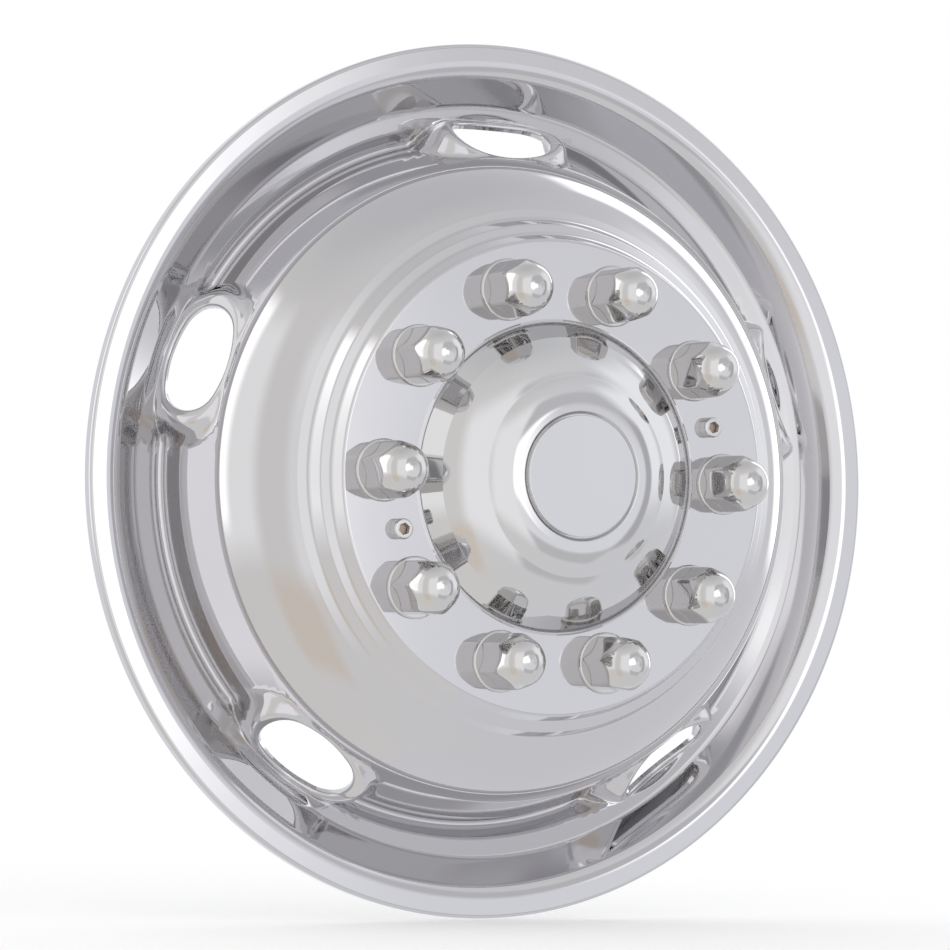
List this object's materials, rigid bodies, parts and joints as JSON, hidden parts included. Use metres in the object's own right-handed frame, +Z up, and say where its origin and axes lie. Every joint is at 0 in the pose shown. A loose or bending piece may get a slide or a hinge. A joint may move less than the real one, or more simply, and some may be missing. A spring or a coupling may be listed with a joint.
{
  "type": "truck wheel simulator",
  "caption": "Polished steel liner for a dual-wheel truck's front wheel, with a stepped hub dome, hexagonal lug covers, hand holes and fixing brackets behind.",
  "frame": {"origin": "on the wheel's axis, in the plane of the liner's rim edge", "axes": "the wheel's axis is Y, the show side faces -Y, +Z is up and +X is to the right seen from the front"},
  "size_m": [0.52, 0.143, 0.52],
  "materials": {
    "polished_sheet": "mirror-polished stainless sheet",
    "polished_hub": "mirror-polished stainless sheet",
    "polished_cover": "bright pressed cap",
    "polished_nut": "bright",
    "bracket_steel": "zinc plated, dull",
    "stud_steel": "yellow zinc plated",
    "spacer_steel": "zinc plated"
  },
  "bodies": {
    "root": {"liner": "polished_sheet", "hub_cover": "polished_hub", "hub_disc": "polished_hub", "lug_cover_01": "polished_cover", "lug_cover_02": "polished_cover", "lug_cover_03": "polished_cover", "lug_cover_04": "polished_cover", "lug_cover_05": "polished_cover", "lug_cover_06": "polished_cover", "lug_cover_07": "polished_cover", "lug_cover_08": "polished_cover", "lug_cover_09": "polished_cover", "lug_cover_10": "polished_cover", "mount_bracket_1": "bracket_steel", "mount_bracket_2": "bracket_steel", "bracket_stud_1": "stud_steel", "bracket_stud_2": "stud_steel", "spacer_nut_1": "spacer_steel", "spacer_nut_2": "spacer_steel", "socket_nut_1": "polished_nut", "socket_nut_2": "polished_nut"}
  },
  "joints": []
}
